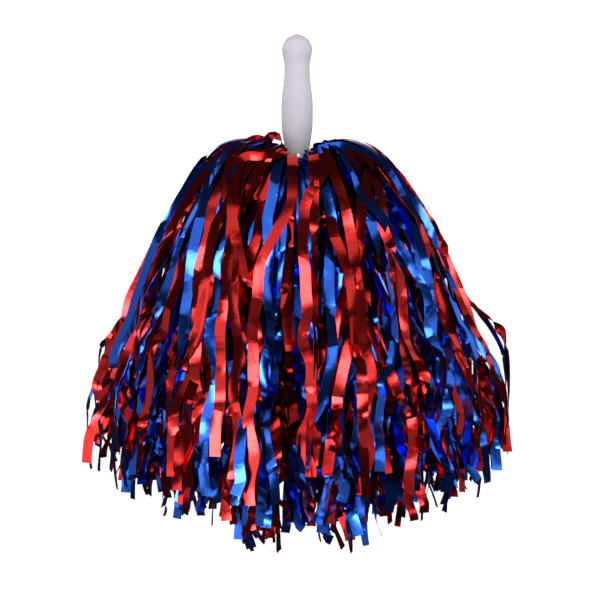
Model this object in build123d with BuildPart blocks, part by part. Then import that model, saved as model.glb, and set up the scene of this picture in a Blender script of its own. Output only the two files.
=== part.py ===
"""Cheer pom pom: a moulded stick handle with fringed foil film tied through its lower end.

Frame: millimetres, +Z up the handle, origin on the handle's axis at the widest part of the grip.
The streamers hang below the handle, as they do when it is held up by the grip.
"""

import os
from math import cos, radians, sin

from build123d import *

# handle
GRIP_R = 10.8
GRIP_LAND = 10.0
BALL_R = 10.35
BALL_Z = 43.5
NECK_R = 8.7
NECK_TOP_Z = 33.0
NECK_BOTTOM_Z = 29.0
TAPER_R = 8.4
TAPER_Z = -28.0
END_R = 8.0
END_Z = -37.5
WALL = 1.8
EDGE_ROUND = 0.7
GATE_R = 0.9
GATE_H = 0.6

# cable tie, which holds the streamers to the handle and lets them rock under it
PIVOT_Z = -30.0
EYE_R = 2.3
STRAP_W = 3.6
STRAP_T = 1.1
LOOP_HALF_WIDTH = 9.3
LOOP_TOP_ROUND = 2.0
LOOP_BOTTOM_ROUND = 8.8
LOOP_CLEARANCE = 0.2
HEAD_X = 5.4
HEAD_Y = 4.4
HEAD_Z = 5.6
HEAD_CENTRE_Z = -46.0
HEAD_INNER_Y = 8.75
HEAD_SLOT_CLEARANCE = 0.1
HEAD_ROUND = 0.6
TAIL_TOP_Z = HEAD_CENTRE_Z + 1.5
TAIL_END = (-8.0, -95.0)
TAIL_Y = -11.8
TAIL_ROUND = 1.6

# middle bands of the film sheets, squeezed to a waist by the tie
WAIST_R = 8.4
WAIST_Z = -50.0
WAIST_HALF = 3.0
GATHER_HALF = 24.0
GATHER_R = 12.6

# crown, where the streamers turn over and start to fall
CROWN_INNER_R = 16.0
CROWN_OUTER_R = 44.0
CROWN_TOP_R = 29.0
CROWN_TOP_Z = -18.5
CROWN_SHOULDER_Z = -27.0
CROWN_EDGE_Z = -30.0
CROWN_BASE_R = 38.0
CROWN_BASE_Z = -35.0
CROWN_HALF_ARC = 176.0

# outer streamers, in locks of one red and one blue half sheet side by side
LOCKS = 8
LOCK_ARC = 360 / LOCKS
LOCK_GAP = 1.2
SHEET_GAP = 0.6
FRINGE_T = 1.5
OUTER_LINE = [
    (47.5, -25.0),
    (61.0, -29.5),
    (91.0, -63.0),
    (108.0, -92.0),
    (118.0, -125.0),
    (130.0, -165.0),
    (141.0, -200.0),
    (147.0, -228.0),
    (146.0, -254.0),
]

# inner streamers, which hang nearly straight
INNER_FRINGES = 8
INNER_ARC = 360 / INNER_FRINGES
INNER_GAP = 1.5
INNER_LINE = [
    (31.0, CROWN_BASE_Z),
    (39.0, -80.0),
    (50.0, -150.0),
    (58.0, -230.0),
    (61.0, -322.0),
]


def save(piece, name):
    piece.part.label = name
    export_step(piece.part, f"parts/{name}.step")


def radial_plane(azimuth):
    """Plane through +Z whose x axis points out at this azimuth."""
    a = radians(azimuth)
    return Plane(origin=(0, 0, 0), x_dir=(cos(a), sin(a), 0), z_dir=(sin(a), -cos(a), 0))


def handle_half(inset, end_z):
    """Half section of the handle, inset from its skin, down to end_z."""
    ball_r = BALL_R - inset
    neck_r = NECK_R - inset
    grip_r = GRIP_R - inset
    taper_r = TAPER_R - inset
    half_land = GRIP_LAND / 2
    down = (0, -1)
    slope = (END_R - TAPER_R, END_Z - TAPER_Z)
    with BuildSketch(Plane.XZ) as half:
        with BuildLine():
            CenterArc((0, BALL_Z), ball_r, start_angle=0, arc_size=90)
            Spline((ball_r, BALL_Z), (neck_r, NECK_TOP_Z), tangents=[down, down])
            Line((neck_r, NECK_TOP_Z), (neck_r, NECK_BOTTOM_Z))
            Spline((neck_r, NECK_BOTTOM_Z), (grip_r, half_land), tangents=[down, down])
            Line((grip_r, half_land), (grip_r, -half_land))
            Spline((grip_r, -half_land), (taper_r, TAPER_Z), tangents=[down, slope])
            Polyline(
                (taper_r, TAPER_Z),
                (END_R - inset, end_z),
                (0, end_z),
                (0, BALL_Z + ball_r),
            )
        make_face()
    return half.sketch


def make_handle():
    with BuildPart() as handle:
        revolve(handle_half(0, END_Z), axis=Axis.Z)
        # stub of the moulding gate on the ball
        with BuildSketch(Plane.XY.offset(BALL_Z + BALL_R - GATE_H)):
            Circle(GATE_R)
        extrude(amount=2 * GATE_H)
        # hollow, and open at the lower end
        revolve(handle_half(WALL, END_Z - WALL), axis=Axis.Z, mode=Mode.SUBTRACT)
        rim = handle.edges().group_by(Axis.Z)[0].sort_by(SortBy.RADIUS)[-1]
        fillet(rim, EDGE_ROUND)
        # eye for the cable tie
        with BuildSketch(Plane.XZ):
            with Locations((0, PIVOT_Z)):
                Circle(EYE_R)
        extrude(amount=2 * GRIP_R, both=True, mode=Mode.SUBTRACT)
    save(handle, "handle")


def loop_face(grow):
    """Outline of the strap's loop, grown outwards from its inner face."""
    top = PIVOT_Z - STRAP_T / 2
    bottom = WAIST_Z - WAIST_R - LOOP_CLEARANCE
    with BuildSketch(Plane.YZ) as loop:
        with Locations((0, (top + bottom) / 2)):
            Rectangle(2 * (LOOP_HALF_WIDTH + grow), top - bottom + 2 * grow)
        fillet(loop.vertices().group_by(Axis.Y)[0], LOOP_BOTTOM_ROUND + grow)
        fillet(loop.vertices().group_by(Axis.Y)[-1], LOOP_TOP_ROUND + grow)
    return loop.sketch


def make_tie_strap():
    half = STRAP_W / 2
    with BuildPart() as strap:
        extrude(loop_face(STRAP_T), amount=half, both=True)
        extrude(loop_face(0), amount=half, both=True, mode=Mode.SUBTRACT)
    save(strap, "tie_strap")


def make_tie_head():
    """Locking head on the front of the loop."""
    slot_y = STRAP_T + 2 * HEAD_SLOT_CLEARANCE
    slot_x = STRAP_W + 2 * HEAD_SLOT_CLEARANCE
    with BuildPart() as head:
        with Locations((0, -HEAD_INNER_Y - HEAD_Y / 2, HEAD_CENTRE_Z)):
            Box(HEAD_X, HEAD_Y, HEAD_Z)
        fillet(head.edges().filter_by(Axis.Z), HEAD_ROUND)
        # slots for the loop and for the tail beside it
        for slot_centre_y in (-LOOP_HALF_WIDTH - STRAP_T / 2, TAIL_Y):
            with Locations((0, slot_centre_y, HEAD_CENTRE_Z)):
                Box(slot_x, slot_y, 2 * HEAD_Z, mode=Mode.SUBTRACT)
    save(head, "tie_head")


def make_tie_tail():
    """Free end of the strap, which comes down out of the head and leans aside."""
    half = STRAP_W / 2
    bend_z = HEAD_CENTRE_Z - HEAD_Z / 2
    end_x, end_z = TAIL_END
    with BuildPart() as tail:
        with BuildSketch(Plane.XZ.offset(-TAIL_Y)) as outline:
            with BuildLine():
                Polyline(
                    (-half, TAIL_TOP_Z),
                    (half, TAIL_TOP_Z),
                    (half, bend_z),
                    (end_x + half, end_z),
                    (end_x - half, end_z),
                    (-half, bend_z),
                    close=True,
                )
            make_face()
            fillet(outline.vertices().group_by(Axis.Y)[0], TAIL_ROUND)
        extrude(amount=STRAP_T / 2, both=True)
    save(tail, "tie_tail")


def make_gathered_bands():
    waist = Plane(origin=(0, 0, WAIST_Z), x_dir=(1, 0, 0), z_dir=(0, -1, 0))
    with BuildPart() as bands:
        with BuildSketch(waist):
            with BuildLine():
                flat = [(1, 0), (1, 0.2)]
                Line((-WAIST_HALF, WAIST_R), (WAIST_HALF, WAIST_R))
                Spline((WAIST_HALF, WAIST_R), (GATHER_HALF, GATHER_R), tangents=flat)
                Spline(
                    (-WAIST_HALF, WAIST_R),
                    (-GATHER_HALF, GATHER_R),
                    tangents=[(-x, y) for x, y in flat],
                )
                Polyline(
                    (GATHER_HALF, GATHER_R),
                    (GATHER_HALF, 0),
                    (-GATHER_HALF, 0),
                    (-GATHER_HALF, GATHER_R),
                )
            make_face()
        revolve(axis=Axis((0, 0, WAIST_Z), (1, 0, 0)))
    save(bands, "gathered_bands")


def make_crown_half(name, start_azimuth):
    """Half of the ring where the streamers come up from the tie and turn over."""
    with BuildPart() as crown:
        with BuildSketch(radial_plane(start_azimuth)):
            with BuildLine():
                Line((CROWN_INNER_R, CROWN_BASE_Z), (CROWN_INNER_R, CROWN_SHOULDER_Z))
                Spline(
                    (CROWN_INNER_R, CROWN_SHOULDER_Z),
                    (CROWN_TOP_R, CROWN_TOP_Z),
                    (CROWN_OUTER_R, CROWN_SHOULDER_Z),
                    tangents=[(0, 1), (0, -1)],
                )
                Polyline(
                    (CROWN_OUTER_R, CROWN_SHOULDER_Z),
                    (CROWN_OUTER_R, CROWN_EDGE_Z),
                    (CROWN_BASE_R, CROWN_BASE_Z),
                    (CROWN_INNER_R, CROWN_BASE_Z),
                )
            make_face()
        revolve(axis=Axis.Z, revolution_arc=CROWN_HALF_ARC)
    save(crown, name)


def make_fringe(name, line, shift, start_azimuth, arc):
    """A thin curved leaf that fills the place of one half sheet's strips."""
    back = [(r + shift[0], z + shift[1]) for r, z in line]
    with BuildPart() as fringe:
        with BuildSketch(radial_plane(start_azimuth)):
            with BuildLine():
                Spline(*line)
                Spline(*back)
                Line(line[0], back[0])
                Line(line[-1], back[-1])
            make_face()
        revolve(axis=Axis.Z, revolution_arc=arc)
    save(fringe, name)


def make_outer_fringes():
    arc = (LOCK_ARC - LOCK_GAP - SHEET_GAP) / 2
    for lock in range(LOCKS):
        start = lock * LOCK_ARC + LOCK_GAP / 2
        for place, colour in enumerate(("red", "blue")):
            azimuth = start + place * (arc + SHEET_GAP)
            name = f"outer_{colour}_fringe_{lock + 1}"
            make_fringe(name, OUTER_LINE, (-FRINGE_T, -FRINGE_T), azimuth, arc)


def make_inner_fringes():
    for place in range(INNER_FRINGES):
        colour = ("blue", "red")[place % 2]
        azimuth = place * INNER_ARC + INNER_GAP / 2
        name = f"inner_{colour}_fringe_{place // 2 + 1}"
        make_fringe(name, INNER_LINE, (-FRINGE_T, 0), azimuth, INNER_ARC - INNER_GAP)


os.makedirs("parts", exist_ok=True)
make_handle()
make_tie_strap()
make_tie_head()
make_tie_tail()
make_gathered_bands()
crown_gap = (180 - CROWN_HALF_ARC) / 2
make_crown_half("right_crown", -90 + crown_gap)
make_crown_half("left_crown", 90 + crown_gap)
make_outer_fringes()
make_inner_fringes()
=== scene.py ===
"""Cheer pom pom: foil strips, finishes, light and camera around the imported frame.

Lengths are in metres in the row's frame: +Z up the handle, origin at the grip.
"""

import math

import bpy
import numpy as np
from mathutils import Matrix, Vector


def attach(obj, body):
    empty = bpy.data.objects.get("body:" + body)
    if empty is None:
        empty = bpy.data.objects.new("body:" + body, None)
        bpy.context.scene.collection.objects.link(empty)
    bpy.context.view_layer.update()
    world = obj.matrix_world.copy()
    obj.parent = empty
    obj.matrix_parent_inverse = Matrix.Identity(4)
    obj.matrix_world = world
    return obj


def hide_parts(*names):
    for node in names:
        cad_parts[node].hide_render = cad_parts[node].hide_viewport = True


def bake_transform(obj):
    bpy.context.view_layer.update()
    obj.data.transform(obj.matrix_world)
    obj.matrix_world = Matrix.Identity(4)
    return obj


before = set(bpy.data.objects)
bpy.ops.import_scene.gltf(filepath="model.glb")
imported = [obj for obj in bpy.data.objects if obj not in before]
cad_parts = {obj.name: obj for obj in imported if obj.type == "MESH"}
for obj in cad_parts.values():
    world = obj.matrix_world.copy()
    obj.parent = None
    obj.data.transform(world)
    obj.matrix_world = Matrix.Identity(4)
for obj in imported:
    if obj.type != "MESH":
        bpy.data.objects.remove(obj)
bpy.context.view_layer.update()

MM = 0.001
UP = np.array([0.0, 0.0, 1.0])

# film sheets: 12 of them, each cut to a fringe on both sides of an uncut middle band
STRIPS = 24
STRIP_W = 6.8 * MM
FILM_T = 0.12 * MM
BAND_HALF = 10 * MM
STRIP_L = 303 * MM
SHORTEST_CUT = 0.08

# the tie's waist, where all the bands are squeezed together
WAIST_Z = -50 * MM
WAIST_R = 7.6 * MM
BAND_R = 8.2 * MM

# locks, as in the frame
LOCKS = 8
LOCK_ARC = 2 * math.pi / LOCKS

# the crown, where strips turn over: the inner ones turn nearer to the handle and lower
CROWN_R = (15 * MM, 33 * MM)
CROWN_LOW_Z = -40 * MM
CROWN_RISE = (6 * MM, 15 * MM)
CROWN_UNEVEN = 1.2 * MM
INNER_DROP = math.radians(45)
CROWN_S = 45 * MM

# the skirt's outline: the slope of an outer strip, below level, at lengths past the crown
FALL_S = np.array([0, 12, 28, 50, 75, 95, 120, 160, 200, 225, 265]) * MM
FALL_OUTER = np.radians([0, 15, 38, 50, 55, 63, 75, 75, 72, 76, 92])
SKIRT_EDGE = (132 * MM, 148 * MM)
SIDE_SHOULDER = 0.16
SIDE_TUCK = 0.13
STEER = 85 * MM

# points along each strip, and the creases between its flat facets
STEP = 3 * MM
RINGS = int(STRIP_L / STEP) + 1
CREASES = 16
FIRST_CREASE = 14
FACET_RINGS = (3, 17)
CREASE_SKEW = 1.3 * MM
MOST_SKEW = 2.2 * MM
CUP = 0.22 * MM

# lengths of the film's soft waves
LONG_WAVES = (110 * MM, 190 * MM)
SHORT_WAVES = (45 * MM, 70 * MM)
TURN_WAVES = (120 * MM, 200 * MM, 60 * MM)
CUP_WAVES = (60 * MM, 100 * MM)
SWAY_WAVES = (120 * MM, 70 * MM, 40 * MM)

# sizes of those waves, in radians: near the crown, and added where the strip hangs loose
FALL_WAVE = (0.05, 0.05)
ASIDE_WAVE = (0.05, 0.07)
TURN_WAVE = (0.12, 0.12)
FALL_RIPPLE = 0.05
ASIDE_RIPPLE = 0.04

# sizes of each facet's own bend, in radians, and the shares of it near the crown and added where loose
FALL_FACET, FALL_SHARE = 0.20, (0.25, 0.75)
ASIDE_FACET, ASIDE_SHARE = 0.10, (0.3, 0.7)
TURN_FACET, TURN_SHARE = 0.27, (0.6, 0.4)
LAID_FACET, LAID_SHARE = 0.18, (0.15, 0.85)

# dents: short sharp bends, so many on each strip, with their sizes in radians
DENTS = 3
DENT_FROM = 80 * MM
FALL_DENT, FALL_DENT_L = 0.30, (6 * MM, 24 * MM)
ASIDE_DENT, ASIDE_DENT_L = 0.4, (8 * MM, 24 * MM)
CRUMPLE_FROM = 140 * MM
CRUMPLE_DENT, CRUMPLE_DENT_L = 0.8, (6 * MM, 14 * MM)
CRUMPLED_STRIPS = 0.4

# strips that twist, strips that fold over, and strips that wander
TWISTED_STRIPS = 0.5
TWIST = 1.6
TWIST_BLUR = 14 * MM
FOLDED_STRIPS = 0.3
FOLD_BLUR = 6 * MM
WANDERING_STRIPS = 0.1
FAR_WANDER, NEAR_WANDER = 1.9, 0.9


# ---------------------------------------------------------------- random shapes along the strips


def waves(rng, s, lengths):
    """Smooth random curves along s, one row per strip, about 1 in size."""
    total = np.zeros_like(s)
    for length in lengths:
        period = length * rng.uniform(0.75, 1.3, (len(s), 1))
        phase = rng.uniform(0, 2 * math.pi, (len(s), 1))
        size = rng.normal(0, 1, (len(s), 1))
        total += size * np.sin(2 * math.pi * s / period + phase)
    return total / math.sqrt(len(lengths))


def pulses(rng, s, start, size, width):
    """Short stretches, with crisp ends, where the strip is bent out of line."""
    total = np.zeros_like(s)
    for _ in range(DENTS):
        centre = start + (STRIP_L - start) * rng.uniform(0, 1, (len(s), 1)) ** 0.7
        half = rng.uniform(*width, (len(s), 1)) / 2
        height = rng.normal(0, size, (len(s), 1))
        total += height / (1 + (np.abs(s - centre) / half) ** 8)
    return total


def turned_by(s, angle, centre, blur):
    """A turn of the strip about its own length that comes over a short stretch."""
    return angle * (0.5 + 0.5 * np.tanh((s - centre) / blur))


def growing(sizes, loose):
    """A size near the crown that grows as the strip comes to hang loose."""
    return sizes[0] + sizes[1] * loose


def smooth_ramp(x, low, high):
    t = np.clip((x - low) / (high - low), 0, 1)
    return t * t * (3 - 2 * t)


def stretch(x, low, high):
    """1 in the middle of a range and 0 outside it."""
    t = np.clip((x - low) / (high - low), 0, 1)
    return (4 * t * (1 - t)) ** 2


def crease_rings(rng, count):
    """Which rings of each strip are creases, and the number of the facet each ring is on."""
    gaps = rng.integers(*FACET_RINGS, (count, CREASES))
    rings = FIRST_CREASE + np.cumsum(gaps, axis=1)
    creased = np.zeros((count, RINGS), bool)
    for row in range(count):
        inside = rings[row][rings[row] < RINGS - 2]
        creased[row, inside] = True
    facet = np.cumsum(creased, axis=1)
    return creased, facet


def facet_values(rng, facet, size):
    """One random value for each facet of each strip."""
    values = rng.normal(0, size, (len(facet), CREASES + 1))
    return np.take_along_axis(values, facet, axis=1)


# ---------------------------------------------------------------- centre lines


def cubic(t, start, start_pull, end, end_pull):
    """A smooth curve between two points, leaving and arriving along the two pulls."""
    return (
        (2 * t**3 - 3 * t**2 + 1) * start
        + (t**3 - 2 * t**2 + t) * start_pull
        + (-2 * t**3 + 3 * t**2) * end
        + (t**3 - t**2) * end_pull
    )


def lead_in(azimuth, layer, root, lift):
    """Curves out of the tie and up to the crown, and the direction in which each arrives."""
    count = len(azimuth)
    out = np.stack([np.cos(azimuth), np.sin(azimuth), np.zeros(count)], axis=1)
    side = np.sign(out[:, :1])
    crown_r = CROWN_R[0] + (CROWN_R[1] - CROWN_R[0]) * layer
    rise = CROWN_RISE[0] + CROWN_RISE[1] * np.abs(out[:, 0]) ** 0.5
    crown_z = CROWN_LOW_Z + rise * layer**0.7 + lift
    crown = out * crown_r[:, None] + UP * crown_z[:, None]
    climb = np.stack([np.full(count, 0.6), np.zeros(count), 0.35 + 0.65 * layer], axis=1)
    leave = climb * np.concatenate([side, side, np.ones((count, 1))], axis=1)
    drop = INNER_DROP * (1 - layer)
    arrive = out * np.cos(drop)[:, None] - UP * np.sin(drop)[:, None]
    reach = np.linalg.norm(crown - root, axis=1)[:, None]
    t = np.linspace(0, 1, 40)[None, :, None]
    leave_pull = (leave * reach * 1.2)[:, None]
    arrive_pull = (arrive * reach * 0.9)[:, None]
    return cubic(t, root[:, None], leave_pull, crown[:, None], arrive_pull), out, drop


def evenly(curve, lengths):
    """Even steps along each strip that start on its curve, and how far each is past the crown."""
    count = len(curve)
    gaps = np.linalg.norm(np.diff(curve, axis=1), axis=2)
    run = np.concatenate([np.zeros((count, 1)), np.cumsum(gaps, axis=1)], axis=1)
    s = np.arange(RINGS)[None, :] * (lengths / (RINGS - 1))[:, None]
    points = np.empty((count, RINGS, 3))
    for row in range(count):
        for axis in range(3):
            points[row, :, axis] = np.interp(s[row], run[row], curve[row, :, axis])
    return points, s, np.maximum(s - run[:, -1:], 0)


def outline_slope(fallen, hangs, layer, drop):
    """The slope of each strip on a smooth skirt: inner strips fall more steeply."""
    quick = smooth_ramp(fallen, 0, 60 * MM) * 0.35 + 0.65
    flare = layer[:, None] * quick + (1 - quick)
    level = math.pi / 2
    slope = level - (level - np.interp(fallen, FALL_S, FALL_OUTER)) * flare
    slope = np.maximum(slope, drop[:, None] * (1 - smooth_ramp(fallen, 0, 20 * MM)))
    to_side = np.cos(hangs)[:, None] ** 2 * layer[:, None]
    slope = slope + to_side * SIDE_SHOULDER * stretch(fallen, 5 * MM, 90 * MM)
    return slope - to_side * SIDE_TUCK * stretch(fallen, 100 * MM, 200 * MM)


def uneven(rng, s, fallen, slope, layer, facet, wander):
    """The slope and the sideways drift of each strip, with the bends of loose, creased film."""
    loose = smooth_ramp(fallen, 10 * MM, 200 * MM)
    slope = slope + growing(FALL_WAVE, loose) * waves(rng, s, LONG_WAVES)
    slope = slope + FALL_RIPPLE * loose * waves(rng, s, SHORT_WAVES)
    slope = slope + loose * pulses(rng, s, DENT_FROM, FALL_DENT, FALL_DENT_L)
    slope = slope + growing(FALL_SHARE, loose) * facet_values(rng, facet, FALL_FACET)
    aside = growing(ASIDE_WAVE, loose) * waves(rng, s, LONG_WAVES) * wander
    aside = aside + ASIDE_RIPPLE * loose * waves(rng, s, SHORT_WAVES)
    inside = 1.3 - 0.9 * layer[:, None]
    aside = aside + inside * loose**2 * pulses(rng, s, DENT_FROM, ASIDE_DENT, ASIDE_DENT_L)
    aside = aside + growing(ASIDE_SHARE, loose) * facet_values(rng, facet, ASIDE_FACET)
    crumpled = rng.uniform(0, 1, (len(s), 1)) < CRUMPLED_STRIPS
    crumple = inside * crumpled * smooth_ramp(fallen, 110 * MM, 200 * MM)
    slope = slope + crumple * pulses(rng, s, CRUMPLE_FROM, CRUMPLE_DENT, CRUMPLE_DENT_L)
    aside = aside + crumple * pulses(rng, s, CRUMPLE_FROM, CRUMPLE_DENT, CRUMPLE_DENT_L)
    return slope, aside


def strip_paths(rng, azimuth, hangs, layer, root, lengths, facet, wander):
    """Centre lines: out of the tie, over the crown at one azimuth, then down at another.

    layer runs from 0, at the heart of the skirt, to 1 on its outside.
    """
    lift = rng.normal(0, CROWN_UNEVEN, len(azimuth))
    curve, out, drop = lead_in(azimuth, layer, root, lift)
    points, s, fallen = evenly(curve, lengths)
    slope = outline_slope(fallen, hangs, layer, drop)
    slope, aside = uneven(rng, s, fallen, slope, layer, facet, wander)
    step = s[:, 1:2]
    for k in range(1, RINGS):
        point = points[:, k - 1]
        flat = point * [1, 1, 0]
        size = np.linalg.norm(flat, axis=1)[:, None]
        radial = np.where(size < 8 * MM, out, flat / np.maximum(size, MM))
        tangential = np.cross(UP, radial)
        held_in = smooth_ramp(size, *SKIRT_EDGE) * math.pi / 2
        fall = np.maximum(slope[:, k - 1, None], held_in)
        heading = np.arctan2(point[:, 1], point[:, 0])
        off = np.angle(np.exp(1j * (hangs - heading)))
        steer = np.clip(off * size[:, 0] / STEER, -0.5, 0.5)
        drift = aside[:, k - 1, None] + steer[:, None]
        ahead = np.cos(fall) * radial - np.sin(fall) * UP
        ahead = ahead * np.cos(drift) + tangential * np.sin(drift)
        falling = fallen[:, k, None] > 0
        points[:, k] = np.where(falling, point + ahead * step, points[:, k])
    return points


def carried_frames(points, start_index, width0):
    """Tangents, and width directions carried along each path without twist from one place on it."""
    count, n, _ = points.shape
    tangent = np.gradient(points, axis=1)
    tangent /= np.linalg.norm(tangent, axis=2)[:, :, None]
    width = np.empty_like(points)

    def square(w, t):
        w = w - (w * t).sum(axis=1)[:, None] * t
        return w / np.linalg.norm(w, axis=1)[:, None]

    first = square(width0, tangent[np.arange(count), start_index])
    width[:, start_index] = first
    w = first
    for k in range(start_index + 1, n):
        w = square(w, tangent[:, k])
        width[:, k] = w
    w = first
    for k in range(start_index - 1, -1, -1):
        w = square(w, tangent[:, k])
        width[:, k] = w
    return tangent, width


# ---------------------------------------------------------------- strips laid through listed places

# The strips that catch the eye, as the places that each passes. A place of four numbers is
# x, y and z in mm and the way the strip faces there, in degrees round the handle. A place of
# three has no y: it lies on the front of the skirt. The first place, inside the crown, faces in.
SHELF = [(-8, -11, -37, 60), (-8, -24, -27, -60), (-9, -38, -27, -80), (-14, -48, -30, -90),
         (-24, -53, -31, -90), (-33, -54, -31, -92), (-38, -54, -34, -95), (-40, -53, -41, -98),
         (-41, -64, -95), (-43, -90, -108), (-46, -125, -98), (-48, -160, -112), (-50, -195, -100)]
CURL = [(-9, -10, -38, 60), (-10, -13, -24, 40), (-12, -14, -17, -40), (-17, -17, -16, -90),
        (-21, -25, -22, -110), (-29, -40, -26, -115), (-36, -44, -120), (-40, -62, -110),
        (-42, -85, -118), (-40, -115, -106), (-38, -150, -118), (-38, -188, -108)]
SLANT = [(-5, -13, -38, 80), (-4, -28, -30, -90), (-3, -42, -84), (-4, -62, -75), (-13, -80, -90),
         (-22, -98, -105), (-26, -128, -90), (-28, -162, -100), (-28, -198, -85)]
STEPPED = [(-12, -10, -36, 60), (-21, -27, -24, -80), (-37, -43, -112), (-41, -62, -92),
           (-46, -78, -118), (-51, -97, -96), (-52, -125, -115), (-54, -160, -100), (-56, -195, -110)]
POST = [(3, -14, -37, 90), (4, -31, -32, -90), (10, -39, -28, -70), (20, -42, -25, -60),
        (33, -43, -24, -50), (47, -46, -29, -50), (60, -51, -39, -55), (71, -57, -52),
        (78, -80, -60), (84, -108, -52), (90, -142, -64), (94, -180, -56)]
ACROSS = [(14, -9, -36, 110), (21, -22, -23, -20), (24, -36, -24, -60), (16, -44, -80),
          (7, -58, -90), (4, -84, -80), (5, -112, -95), (7, -150, -85), (7, -190, -95)]
SASH = [(14, -10, -35, 130), (20, -26, -22, -30), (26, -39, -23, -45), (35, -44, -65),
        (44, -59, -50), (54, -69, -70), (61, -82, -55), (72, -98, -65), (82, -120, -50),
        (88, -144, -65), (92, -170, -55), (94, -196, -60)]
BROAD = [(12, -11, -36, 90), (17, -31, -24, -70), (24, -42, -80), (30, -60, -75), (34, -80, -85),
         (37, -100, -78), (40, -124, -88), (42, -156, -80), (44, -190, -80)]
RIDGE = [(-16, -6, -32, 20), (-23, -10, -22, 180), (-36, -18, -23, 230), (-54, -31, -34, 240),
         (-66, -43, -41, 235), (-76, -51, -55, 240), (-85, -57, -71, 235), (-95, -61, -92, 245),
         (-104, -63, -117, 235), (-112, -64, -140, 240), (-119, -64, -168, 235)]
DROP = [(-15, -8, -33, 30), (-25, -18, -21, 200), (-40, -32, -23, 240), (-53, -37, 250),
        (-60, -56, 262), (-63, -71, 255), (-67, -92, 265), (-70, -116, 255), (-73, -150, 262),
        (-75, -190, 250)]
BRONZE = [(-14, -8, -33, 30), (-23, -20, -22, 210), (-36, -36, -24, 240), (-47, -45, 238),
          (-55, -63, 260), (-57, -82, 255), (-62, -104, 265), (-63, -130, 250), (-66, -170, 262)]
LOOP = [(-18, -7, -30, 0), (-26, -9, -21, 180), (-40, -13, -21, 230), (-56, -16, -32, 240),
        (-73, -19, -51, 240), (-89, -21, -76, 245), (-103, -22, -104, 250), (-115, -23, -131, 255),
        (-123, -23, -155, 250), (-131, -23, -172, 265), (-136, -23, -186, 250),
        (-133, -23, -199, 265), (-137, -23, -211, 260), (-142, -23, -224, 265)]
WISP = [(-15, -7, -30, 10), (-22, -8, -20, 120), (-28, -8, -18, 100), (-34, -10, -20, 130),
        (-45, -16, -27, 180), (-58, -26, -40, 230), (-72, -36, -56, 240), (-87, -44, -86, 240),
        (-99, -50, -122, 250), (-107, -52, -162, 240)]
EDGE = [(18, -8, -30, 180), (26, -11, -21, 0), (40, -14, -22, -40), (57, -18, -32, -50),
        (74, -22, -50, -55), (90, -25, -75, -60), (102, -27, -102, -70), (111, -29, -125, -85),
        (120, -30, -147, -90), (129, -30, -166, -80), (125, -31, -175, 70), (128, -31, -186, 90),
        (133, -31, -197, 85)]
BOW = [(18, -10, -31, 170), (27, -16, -22, 0), (42, -24, -23, -40), (58, -32, -34, -50),
       (74, -37, -53, -50), (89, -39, -79, -60), (101, -39, -107, -50), (111, -37, -134, -60),
       (121, -35, -153, -70), (130, -34, -166, -85), (135, -35, -176, -95), (137, -35, -187, -90),
       (135, -35, -198, -85), (136, -35, -209, -95)]
FLICK = [(17, -10, -31, 170), (26, -14, -23, 0), (40, -20, -26, -40), (55, -26, -38, -60),
         (70, -30, -58, -50), (84, -33, -86, -60), (95, -34, -116, -70), (104, -34, -146, -60),
         (113, -34, -174, -80), (122, -34, -190, -85), (132, -34, -202, -90), (143, -34, -214, -85)]
LAID = {
    (5, "red"): [SHELF, CURL, SLANT],
    (5, "blue"): [STEPPED],
    (6, "blue"): [POST, SASH],
    (6, "red"): [ACROSS, BROAD],
    (4, "blue"): [RIDGE, DROP],
    (4, "red"): [LOOP, WISP, BRONZE],
    (7, "red"): [EDGE, FLICK],
    (7, "blue"): [BOW],
}
LAID_SWAY = 3 * MM

# the skirt's outside, where places of three numbers lie
SKIRT_FALL = np.interp(np.arange(0, 280) * MM, FALL_S, FALL_OUTER)
SKIRT_R = 36 * MM + np.cumsum(np.cos(SKIRT_FALL)) * MM
SKIRT_Z = -26 * MM - np.cumsum(np.sin(SKIRT_FALL)) * MM


def place_of(place):
    """Where a listed place is, in metres."""
    if len(place) == 4:
        return np.array(place[:3]) * MM
    x, z = np.array(place[:2]) * MM
    radius = np.interp(-z, -SKIRT_Z, SKIRT_R)
    return np.array([x, -math.sqrt(radius**2 - x**2), z])


def through(places, root, s):
    """The centre line and width directions of a strip laid through the given places."""
    laid = np.array([place_of(place) for place in places])
    facing = [place[-1] for place in places]
    stops = np.vstack([root, laid, laid[-1:] - UP * STRIP_L])
    faces = np.array([facing[0], *facing, facing[-1]])
    knots = np.concatenate([[0], np.cumsum(np.linalg.norm(np.diff(stops, axis=0), axis=1))])
    pull = np.gradient(stops, knots, axis=0)
    pull[-2:] = -UP
    dense = np.linspace(0, knots[-1], 3000)
    i = np.clip(np.searchsorted(knots, dense, side="right") - 1, 0, len(knots) - 2)
    gap = (knots[i + 1] - knots[i])[:, None]
    t = (dense - knots[i])[:, None] / gap
    curve = cubic(t, stops[i], gap * pull[i], stops[i + 1], gap * pull[i + 1])
    run = np.concatenate([[0], np.cumsum(np.linalg.norm(np.diff(curve, axis=0), axis=1))])
    line = np.stack([np.interp(s, run, curve[:, axis]) for axis in range(3)], axis=1)
    face = np.radians(np.interp(s, run, np.interp(dense, knots, faces)))
    outward = np.stack([np.cos(face), np.sin(face), np.full(len(s), 0.6)], axis=1)
    tangent = np.gradient(line, axis=0)
    width = np.cross(tangent, outward)
    return line, width / np.linalg.norm(width, axis=1)[:, None]


# ---------------------------------------------------------------- fringe meshes


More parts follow.
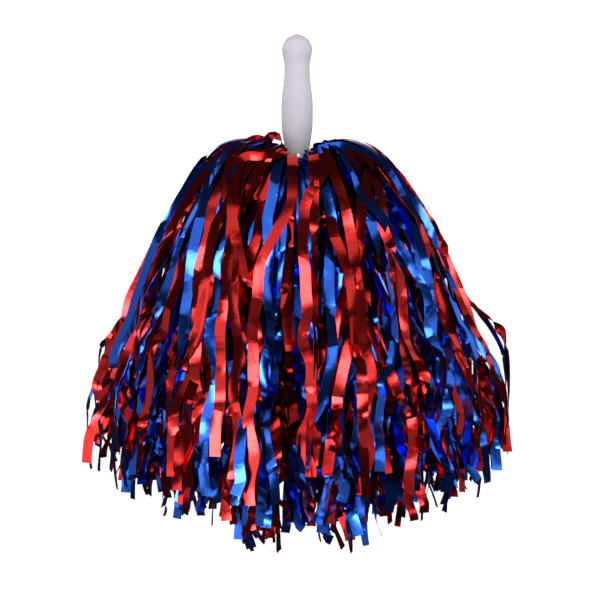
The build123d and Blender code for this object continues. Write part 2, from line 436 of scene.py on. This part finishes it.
def mark_creases(mesh, creased):
    """Sharp edges across the strips at their creases."""
    ends = np.empty(len(mesh.edges) * 2, np.int64)
    mesh.edges.foreach_get("vertices", ends)
    ends = ends.reshape(-1, 2)
    ring = ends // 6
    same = ring[:, 0] == ring[:, 1]
    on_crease = same & creased.ravel()[ring[:, 0]]
    sharp = mesh.attributes.get("sharp_edge") or mesh.attributes.new("sharp_edge", "BOOLEAN", "EDGE")
    values = np.zeros(len(mesh.edges), bool)
    sharp.data.foreach_get("value", values)
    sharp.data.foreach_set("value", values | on_crease)


def ribbon_faces(count, n):
    """Faces of strips whose rings have six points each, with two quads that close each end."""
    start = (np.arange(count)[:, None] * n + np.arange(n - 1)[None, :]) * 6
    k = np.arange(6)
    nxt = (k + 1) % 6
    base = start[:, :, None]
    quads = np.stack([base + k, base + nxt, base + 6 + nxt, base + 6 + k], axis=-1).reshape(-1, 4)
    first = np.arange(count) * n * 6
    last = first + (n - 1) * 6
    caps = []
    for ends, order in ((first, ((0, 5, 4, 1), (1, 4, 3, 2))), (last, ((0, 1, 4, 5), (1, 2, 3, 4)))):
        for quad in order:
            caps.append(ends[:, None] + np.array(quad)[None, :])
    return np.concatenate([quads] + caps)


def ribbon_mesh(name, centre, width, normal, cup, along, creased, skew):
    """One closed mesh of many flat strips, with creases across them and square-cut ends."""
    count, n, _ = centre.shape
    half_width = STRIP_W / 2
    across = np.array([-1.0, 0.0, 1.0, 1.0, 0.0, -1.0])
    face = np.array([1.0, 1.0, 1.0, -1.0, -1.0, -1.0]) * FILM_T / 2
    bulge = np.array([0.0, 1.0, 0.0, 0.0, 1.0, 0.0])
    tangent = np.cross(width, normal)
    ring = (
        centre[:, :, None]
        + (tangent * skew[:, :, None])[:, :, None] * across[None, None, :, None]
        + width[:, :, None] * (across * half_width)[None, None, :, None]
        + normal[:, :, None] * face[None, None, :, None]
        + (normal * cup[:, :, None])[:, :, None] * bulge[None, None, :, None]
    )
    mesh = bpy.data.meshes.new(name)
    mesh.from_pydata(ring.reshape(-1, 3).tolist(), [], ribbon_faces(count, n).tolist())
    strip = np.empty((count, n, 6, 3), np.float32)
    strip[..., 0] = along[:, :, None]
    strip[..., 1] = (across * half_width)[None, None, :]
    strip[..., 2] = np.arange(count)[:, None, None] * 0.1
    store_places(mesh, strip)
    mesh.shade_smooth()
    mesh.set_sharp_from_angle(angle=math.radians(28))
    mark_creases(mesh, creased)
    return linked(name, mesh)


def store_places(mesh, places):
    """What the foil's pattern follows: along the strip, across it, and a number for each strip."""
    attribute = mesh.attributes.new("strip", "FLOAT_VECTOR", "POINT")
    attribute.data.foreach_set("vector", places.ravel())


def linked(name, data):
    piece = bpy.data.objects.new(name, data)
    bpy.context.scene.collection.objects.link(piece)
    return piece


def strip_turns(rng, s, facet):
    """How far each strip is turned about its own length: waves, facets, twists and folds."""
    count = len(s)
    loose = smooth_ramp(s, 30 * MM, 160 * MM)
    turn = growing(TURN_WAVE, loose) * waves(rng, s, TURN_WAVES)
    turn = turn + growing(TURN_SHARE, loose) * facet_values(rng, facet, TURN_FACET)
    twisted = rng.uniform(0, 1, (count, 1)) < TWISTED_STRIPS
    centre = rng.uniform(70 * MM, STRIP_L, (count, 1))
    angle = rng.normal(0, TWIST, (count, 1))
    turn = turn + twisted * turned_by(s, angle, centre, TWIST_BLUR)
    folded = rng.uniform(0, 1, (count, 1)) < FOLDED_STRIPS
    half_turn = rng.choice([-1, 1], (count, 1)) * math.pi
    centre = rng.uniform(CROWN_S, STRIP_L, (count, 1))
    return turn + folded * turned_by(s, half_turn, centre, FOLD_BLUR)


def crease_skews(rng, creased):
    """How far each ring is cut askew: at random on the creases, and between them on the way."""
    skew = np.where(creased, rng.normal(0, CREASE_SKEW, creased.shape), 0)
    skew = np.clip(skew, -MOST_SKEW, MOST_SKEW)
    beside = np.zeros_like(skew)
    beside[:, 1:] += skew[:, :-1] / 2
    beside[:, :-1] += skew[:, 1:] / 2
    return np.where(creased, skew, beside)


def fringe(name, seed, azimuth, hangs, layer, root, laid=()):
    """A half sheet's fringe of strips, and its strips' total length."""
    rng = np.random.default_rng(seed)
    count = len(azimuth)
    lengths = STRIP_L * (1 - SHORTEST_CUT * rng.uniform(0, 1, count) ** 1.5)
    creased, facet = crease_rings(rng, count)
    wandering = rng.uniform(0, 1, (count, 1)) < WANDERING_STRIPS
    wander = np.where(wandering, FAR_WANDER, NEAR_WANDER)
    points = strip_paths(rng, azimuth, hangs, layer, root, lengths, facet, wander)
    crown_ring = int(CROWN_S / STEP)
    across = np.stack([-np.sin(azimuth), np.cos(azimuth), np.zeros(count)], axis=1)
    tangent, width = carried_frames(points, crown_ring, across)
    s = np.arange(RINGS)[None, :] * (lengths / (RINGS - 1))[:, None]
    turn = strip_turns(rng, s, facet)
    for row, places in enumerate(laid):
        points[row], width[row] = through(places, root[row], s[row])
        freedom = smooth_ramp(s[row], 120 * MM, 260 * MM)[:, None] * [1, 0.4, 0]
        for axis in range(2):
            sway = waves(rng, s[row : row + 1], SWAY_WAVES)[0]
            points[row, :, axis] += LAID_SWAY * sway * freedom[:, axis]
        tangent[row] = np.gradient(points[row], s[row], axis=0)
        share = growing(LAID_SHARE, smooth_ramp(s[row], 85 * MM, 140 * MM))
        turn[row] = share * facet_values(rng, facet[row : row + 1], LAID_FACET)[0]
    tangent /= np.linalg.norm(tangent, axis=2)[:, :, None]
    normal = np.cross(tangent, width)
    wide = width * np.cos(turn)[:, :, None] + normal * np.sin(turn)[:, :, None]
    facing = np.cross(tangent, wide)
    cup = CUP * waves(rng, s, CUP_WAVES)
    skew = crease_skews(rng, creased)
    piece = ribbon_mesh(name, points, wide, facing, cup, s, creased, skew)
    return piece, float(lengths.sum())


# ---------------------------------------------------------------- materials


def shaded(name):
    """A new material, its node tree and its shader."""
    material = bpy.data.materials.new(name)
    material.use_nodes = True
    tree = material.node_tree
    return material, tree, tree.nodes["Principled BSDF"]


def pattern(tree, source, kind, scale, stretched):
    """A texture node over stretched coordinates."""
    mapping = tree.nodes.new("ShaderNodeMapping")
    mapping.inputs["Scale"].default_value = stretched
    tree.links.new(source, mapping.inputs["Vector"])
    node = tree.nodes.new(kind)
    node.inputs["Scale"].default_value = scale
    tree.links.new(mapping.outputs["Vector"], node.inputs["Vector"])
    return node


def ranged(tree, source, low, high):
    node = tree.nodes.new("ShaderNodeMapRange")
    node.inputs["To Min"].default_value = low
    node.inputs["To Max"].default_value = high
    tree.links.new(source, node.inputs["Value"])
    return node.outputs["Result"]


def blended(tree, factor, dark, light):
    mix = tree.nodes.new("ShaderNodeMix")
    mix.data_type = "RGBA"
    mix.inputs["A"].default_value = (*dark, 1)
    mix.inputs["B"].default_value = (*light, 1)
    tree.links.new(factor, mix.inputs["Factor"])
    return mix.outputs["Result"]


def raised(tree, shader, coarse, fine, share, strength, distance):
    """Bump from a coarse pattern plus a share of a fine one."""
    height = tree.nodes.new("ShaderNodeMath")
    height.operation = "MULTIPLY_ADD"
    height.inputs[1].default_value = share
    tree.links.new(fine, height.inputs[0])
    tree.links.new(coarse, height.inputs[2])
    bump = tree.nodes.new("ShaderNodeBump")
    bump.inputs["Strength"].default_value = strength
    bump.inputs["Distance"].default_value = distance
    tree.links.new(height.outputs["Value"], bump.inputs["Height"])
    tree.links.new(bump.outputs["Normal"], shader.inputs["Normal"])


def foil(name, dark, light, edge):
    """Metallised polyester film: tinted lacquer over a mirror, finely creased."""
    material, tree, shader = shaded(name)
    shader.inputs["Metallic"].default_value = 1.0
    shader.inputs["Specular Tint"].default_value = (*edge, 1)
    shader.inputs["Coat Weight"].default_value = 0.35
    shader.inputs["Coat Roughness"].default_value = 0.12
    place = tree.nodes.new("ShaderNodeAttribute")
    place.attribute_name = "strip"
    on_strip = place.outputs["Vector"]
    tint = pattern(tree, on_strip, "ShaderNodeTexNoise", 25, (1, 0.5, 40))
    tree.links.new(blended(tree, tint.outputs["Fac"], dark, light), shader.inputs["Base Color"])
    scuff = pattern(tree, on_strip, "ShaderNodeTexNoise", 160, (1, 1, 40))
    tree.links.new(ranged(tree, scuff.outputs["Fac"], 0.10, 0.22), shader.inputs["Roughness"])
    folds = pattern(tree, on_strip, "ShaderNodeTexVoronoi", 70, (1, 0.45, 40))
    folds.feature = "SMOOTH_F1"
    folds.inputs["Smoothness"].default_value = 0.2
    fine = pattern(tree, on_strip, "ShaderNodeTexNoise", 420, (1, 0.6, 40))
    raised(tree, shader, folds.outputs["Distance"], fine.outputs["Fac"], 0.12, 0.3, 0.0012)
    return material


def moulded(name, dark, light, streaks, roughness, ribs):
    """Milky moulded plastic: cloudy streaks of colour, scuffs and a faintly uneven skin."""
    material, tree, shader = shaded(name)
    shader.inputs["Subsurface Weight"].default_value = 0.35
    shader.inputs["Subsurface Radius"].default_value = (0.006, 0.005, 0.005)
    here = tree.nodes.new("ShaderNodeTexCoord").outputs["Object"]
    cloud = pattern(tree, here, "ShaderNodeTexNoise", 60, streaks)
    cloud.inputs["Detail"].default_value = 4
    tree.links.new(blended(tree, cloud.outputs["Fac"], dark, light), shader.inputs["Base Color"])
    scuff = pattern(tree, here, "ShaderNodeTexNoise", 500, (1, 1, 0.3))
    tree.links.new(ranged(tree, scuff.outputs["Fac"], *roughness), shader.inputs["Roughness"])
    rings = pattern(tree, here, "ShaderNodeTexWave", ribs, (0, 0, 1))
    rings.bands_direction = "Z"
    rings.inputs["Distortion"].default_value = 0.4
    grain = pattern(tree, here, "ShaderNodeTexNoise", 900, (1, 1, 0.5))
    raised(tree, shader, rings.outputs["Fac"], grain.outputs["Fac"], 1.5, 0.35, 0.0001)
    return material


RED = foil("red_foil", (0.58, 0.010, 0.012), (0.84, 0.034, 0.030), (0.95, 0.45, 0.40))
BLUE = foil("blue_foil", (0.022, 0.070, 0.66), (0.025, 0.215, 0.94), (0.4, 0.65, 1.0))
FOILS = {"red": RED, "blue": BLUE}
POLYETHYLENE = moulded(
    "milky_polyethylene", (0.300, 0.278, 0.345), (0.375, 0.355, 0.375), (1, 1, 0.12), (0.36, 0.5), 60
)
NYLON = moulded(
    "natural_nylon", (0.50, 0.49, 0.45), (0.62, 0.61, 0.56), (1, 1, 1), (0.3, 0.42), 300
)

# ---------------------------------------------------------------- fringes

TUFTS = 2
RED_OUTSIDE = (2, 5, 6, 7)
INNER = 8
INNER_CENTRES = 8
OUTER_SPREAD = math.radians(3.3)
INNER_SPREAD = math.radians(3)
ASTRAY = 0.35
FAR_ASTRAY = math.radians(27)
NEAR_ASTRAY = math.radians(8)


def stack_root(sheet, side):
    """Where the strips of one sheet leave its middle band, on one side of the tie."""
    j = np.linspace(-1, 1, STRIPS)
    height = (sheet - 5.5) / 5.5 * WAIST_R * 0.9
    half = math.sqrt(WAIST_R**2 - height**2)
    x = np.full(STRIPS, side * BAND_HALF)
    z = np.full(STRIPS, WAIST_Z + height * 1.15)
    return np.stack([x, j * half * 1.15, z], axis=1)


def tufts(rng, centres, spread):
    """Where each strip of one half sheet crosses the crown, and where it hangs in its tuft."""
    which = rng.permutation(STRIPS) % len(centres)
    hangs = centres[which] + rng.normal(0, spread, STRIPS)
    astray = rng.uniform(0, 1, STRIPS) < ASTRAY
    crosses = hangs + rng.normal(0, 1, STRIPS) * np.where(astray, FAR_ASTRAY, NEAR_ASTRAY)
    return crosses, hangs


def tuft_centres(rng, middle, arc):
    place = (np.arange(TUFTS) + 0.5 + rng.uniform(-0.14, 0.14, TUFTS)) / TUFTS - 0.5
    return middle + place * arc


def kept_to_side(azimuth, middle):
    """Azimuths folded back onto the side of the tie that a half sheet hangs on, and that side."""
    side = 1 if math.cos(middle) > 0 else -1
    return np.where(np.cos(azimuth) * side > 0.02, azimuth, 2 * middle - azimuth), side


def depths(rng):
    """How deep in the skirt each strip hangs, from 0 to 1, evenly shared out."""
    return (rng.permutation(STRIPS) + rng.uniform(0, 1, STRIPS)) / STRIPS


def dress(piece, total, colour, *nodes):
    piece.data.materials.append(FOILS[colour])
    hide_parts(*nodes)


def make_outer(lock, colour, sheet):
    seed = 1000 + 10 * lock + (colour == "red")
    rng = np.random.default_rng(seed + 500)
    middle = (lock + 0.5) * LOCK_ARC
    centres = tuft_centres(np.random.default_rng(700 + lock), middle, LOCK_ARC)
    crosses, hangs = tufts(rng, centres, OUTER_SPREAD)
    crosses, side = kept_to_side(crosses, middle)
    outside = (colour == "red") == (lock in RED_OUTSIDE)
    layer = 1 - 0.45 * depths(rng) ** (1.35 if outside else 0.8)
    order = np.argsort(np.sin(crosses))
    root = stack_root(sheet, side)
    laid = LAID.get((lock, colour), ())
    name = f"{colour}_fringe_{lock + 1}"
    piece, total = fringe(name, seed, crosses[order], hangs[order], layer[order], root, laid)
    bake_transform(piece)
    dress(piece, total, colour, f"outer_{colour}_fringe_{lock + 1}")


def make_inner(place, colour, sheet, *also):
    seed = 2000 + place
    rng = np.random.default_rng(seed + 500)
    arc = 2 * math.pi / INNER
    middle = (place + 0.5) * arc
    centres = middle + arc * np.linspace(-0.6, 0.6, INNER_CENTRES)
    crosses, hangs = tufts(rng, centres, INNER_SPREAD)
    crosses, side = kept_to_side(crosses, middle)
    layer = 0.03 + 0.57 * depths(rng)
    order = np.argsort(np.sin(crosses))
    root = stack_root(sheet, side)
    number = place // 2 + 1
    name = f"inner_{colour}_{number}"
    piece, total = fringe(name, seed, crosses[order], hangs[order], layer[order], root)
    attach(piece, "bundle")
    dress(piece, total, colour, f"inner_{colour}_fringe_{number}", *also)


# each outer sheet leaves one half on each side of the tie, and the stack is 12 sheets high
STACK = {0: 0, 1: 1, 7: 2, 6: 3, 3: 0, 2: 1, 4: 2, 5: 3}
for lock in range(LOCKS):
    make_outer(lock, "red", 4 + 2 * STACK[lock])
    make_outer(lock, "blue", 5 + 2 * STACK[lock])
CROWNS = {0: ["right_crown"], 2: ["left_crown"]}
for place in range(INNER):
    make_inner(place, ("blue", "red")[place % 2], place % 4, *CROWNS.get(place, []))

# ---------------------------------------------------------------- middle bands, handle and tie

BAND_REACH = 12 * MM
BAND_FLARE = 0.12
BAND_RINGS = 25
BAND_POINTS = 360
PLEATS = 36
PLEAT_DEPTH = (0.05, 0.16)


def middle_bands():
    """The uncut middles of all the sheets, squeezed into pleats in the tie."""
    rng = np.random.default_rng(3000)
    angle = np.linspace(0, 2 * math.pi, BAND_POINTS, endpoint=False)
    pleat = rng.uniform(*PLEAT_DEPTH, PLEATS)
    deep = np.interp(angle, np.arange(PLEATS + 1) * 2 * math.pi / PLEATS, [*pleat, pleat[0]])
    verts, places = [], []
    for along in np.linspace(-1, 1, BAND_RINGS):
        fold = np.abs(np.sin(angle * PLEATS / 2 + 0.5 * np.sin(3 * along)))
        flare = BAND_R * (1 + BAND_FLARE * along**2)
        size = flare * (1 - deep * (1 + abs(along)) * (1 - fold))
        x = along * BAND_REACH
        for a, r in zip(angle, size):
            verts.append((x, r * math.cos(a), WAIST_Z + r * math.sin(a)))
            places.append((x, a * BAND_R, int(a * PLEATS / math.pi) * 0.1))
    faces, colours = [], []
    for ring in range(BAND_RINGS - 1):
        here, there = ring * BAND_POINTS, (ring + 1) * BAND_POINTS
        for k in range(BAND_POINTS):
            beside = (k + 1) % BAND_POINTS
            faces.append((here + k, here + beside, there + beside, there + k))
            colours.append(k * PLEATS // BAND_POINTS % 2)
    last = (BAND_RINGS - 1) * BAND_POINTS
    faces.append(tuple(range(BAND_POINTS))[::-1])
    faces.append(tuple(last + k for k in range(BAND_POINTS)))
    mesh = bpy.data.meshes.new("middle_bands")
    mesh.from_pydata(verts, [], faces)
    mesh.materials.append(RED)
    mesh.materials.append(BLUE)
    mesh.polygons.foreach_set("material_index", colours + [0, 1])
    store_places(mesh, np.array(places, np.float32))
    piece = linked("middle_bands", mesh)
    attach(piece, "bundle")
    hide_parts("gathered_bands")


middle_bands()

FINISHES = {"handle": POLYETHYLENE, "tie_strap": NYLON, "tie_head": NYLON, "tie_tail": NYLON}
for node, finish in FINISHES.items():
    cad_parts[node].data.materials.clear()
    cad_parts[node].data.materials.append(finish)

# ---------------------------------------------------------------- stage, light, camera

TARGET = np.array([2, 0, -129.5]) * MM
ELEVATION = math.radians(3.5)
FRAME_HEIGHT = 418 * MM
LENS = 100
SENSOR = 36
FLOOR_Z = -0.9
FLOOR_R = 30
FLOOR_SIDES = 64

# rectangular lights that face the middle of the object: place, width, height and radiance
SOFTBOXES = {
    "overhead": ((-0.2, -1.1, 1.7), 2.2, 1.3, 0.75),
    "front_wall": ((0.3, -2.4, -0.1), 3.0, 1.5, 0.24),
    "low_front": ((-0.3, -1.7, -0.75), 1.6, 0.5, 1.5),
    "low_left": ((-1.5, -1.4, -0.45), 0.5, 0.5, 1.6),
    "low_right": ((1.4, -1.5, -0.4), 0.5, 0.5, 1.4),
    "front_left": ((-1.2, -1.7, 0.5), 0.7, 1.1, 1.1),
    "front_right": ((1.5, -1.3, 0.4), 0.5, 1.3, 0.9),
    "left_wall": ((-1.9, -0.2, 0.2), 1.3, 1.4, 0.35),
    "right_wall": ((1.9, 0.0, 0.2), 1.3, 1.4, 0.3),
    "back_left": ((-1.4, 1.2, 0.5), 0.8, 1.0, 0.9),
    "back_right": ((1.5, 1.1, 0.5), 0.8, 1.0, 0.8),
    "back_wall": ((0.1, 2.2, 0.3), 1.6, 1.2, 0.4),
    "key": ((-0.5, -1.8, 1.1), 0.8, 0.5, 7.5),
    "low_key": ((0.9, -1.9, 0.3), 0.45, 0.5, 8),
    "foot_key": ((-0.7, -1.9, -0.3), 0.5, 0.5, 10),
    "top_key": ((0.3, -0.9, 1.8), 0.5, 0.4, 6),
    "rim_left": ((-1.6, 1.0, 0.8), 0.4, 0.5, 5),
    "rim_right": ((1.8, -0.5, 0.8), 0.4, 0.5, 5),
}


def aim(obj, target):
    obj.rotation_euler = (Vector(target) - obj.location).to_track_quat("-Z", "Y").to_euler()


def softbox(name, place, width, height, radiance):
    light = bpy.data.lights.new(name, "AREA")
    light.shape = "RECTANGLE"
    light.size, light.size_y = width, height
    light.energy = radiance * math.pi * width * height
    obj = linked(name, light)
    obj.location = place
    obj.visible_camera = False
    aim(obj, TARGET)


def make_camera():
    data = bpy.data.cameras.new("camera")
    data.lens = LENS
    data.sensor_width = SENSOR
    camera = linked("camera", data)
    distance = FRAME_HEIGHT * LENS / SENSOR
    towards = np.array([0, -math.cos(ELEVATION), math.sin(ELEVATION)])
    camera.location = TARGET + distance * towards
    aim(camera, TARGET)
    bpy.context.scene.camera = camera


def studio_world():
    """A white room, which the foil mirrors as a dim grey one, so that its darks stay dark."""
    world = bpy.data.worlds.new("studio")
    bpy.context.scene.world = world
    world.use_nodes = True
    nodes, links = world.node_tree.nodes, world.node_tree.links
    mirrored = nodes["Background"]
    mirrored.inputs["Color"].default_value = (0.5, 0.5, 0.52, 1)
    mirrored.inputs["Strength"].default_value = 0.07
    seen = nodes.new("ShaderNodeBackground")
    seen.inputs["Color"].default_value = (1, 1, 1, 1)
    seen.inputs["Strength"].default_value = 1.2
    rays = nodes.new("ShaderNodeLightPath")
    choose = nodes.new("ShaderNodeMixShader")
    links.new(rays.outputs["Is Glossy Ray"], choose.inputs[0])
    links.new(seen.outputs[0], choose.inputs[1])
    links.new(mirrored.outputs[0], choose.inputs[2])
    links.new(choose.outputs[0], nodes["World Output"].inputs["Surface"])


def paper_floor():
    mesh = bpy.data.meshes.new("floor")
    angles = np.linspace(0, 2 * math.pi, FLOOR_SIDES + 1)[:-1]
    corners = [(FLOOR_R * math.cos(a), FLOOR_R * math.sin(a), FLOOR_Z) for a in angles]
    mesh.from_pydata(corners, [], [list(range(FLOOR_SIDES))])
    material, _, shader = shaded("floor_paper")
    shader.inputs["Base Color"].default_value = (0.95, 0.95, 0.95, 1)
    shader.inputs["Roughness"].default_value = 0.9
    mesh.materials.append(material)
    floor = linked("floor", mesh)
    floor.visible_glossy = False


make_camera()
for name, box in SOFTBOXES.items():
    softbox(name, *box)
studio_world()
paper_floor()
bpy.context.scene.view_settings.view_transform = "Standard"
